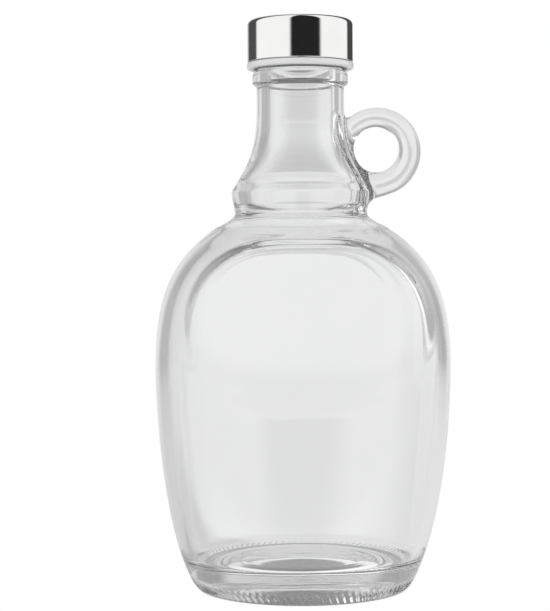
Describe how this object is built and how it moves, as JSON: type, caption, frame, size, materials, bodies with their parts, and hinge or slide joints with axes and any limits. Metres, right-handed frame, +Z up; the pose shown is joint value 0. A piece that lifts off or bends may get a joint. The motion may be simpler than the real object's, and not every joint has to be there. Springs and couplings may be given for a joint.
{
  "type": "glass jug",
  "caption": "Clear glass flagon jug with a finger ring on its neck, leaning oval label panels front and back, and a steel screw cap with a white plastic insert.",
  "frame": {"origin": "centre of the base, in the plane that the jug stands on", "axes": "+Z up along the jug's axis, +X towards the finger ring, -Y towards the front label panel"},
  "size_m": [0.1192, 0.0976, 0.2303],
  "materials": {
    "clear_glass": "smooth clear moulded glass",
    "polished_steel": "bright, very finely brushed round the cap",
    "white_plastic": "semi-gloss white"
  },
  "bodies": {
    "root": {"jug_glass": "clear_glass", "cap_shell": "polished_steel", "cap_insert": "white_plastic"}
  },
  "joints": []
}
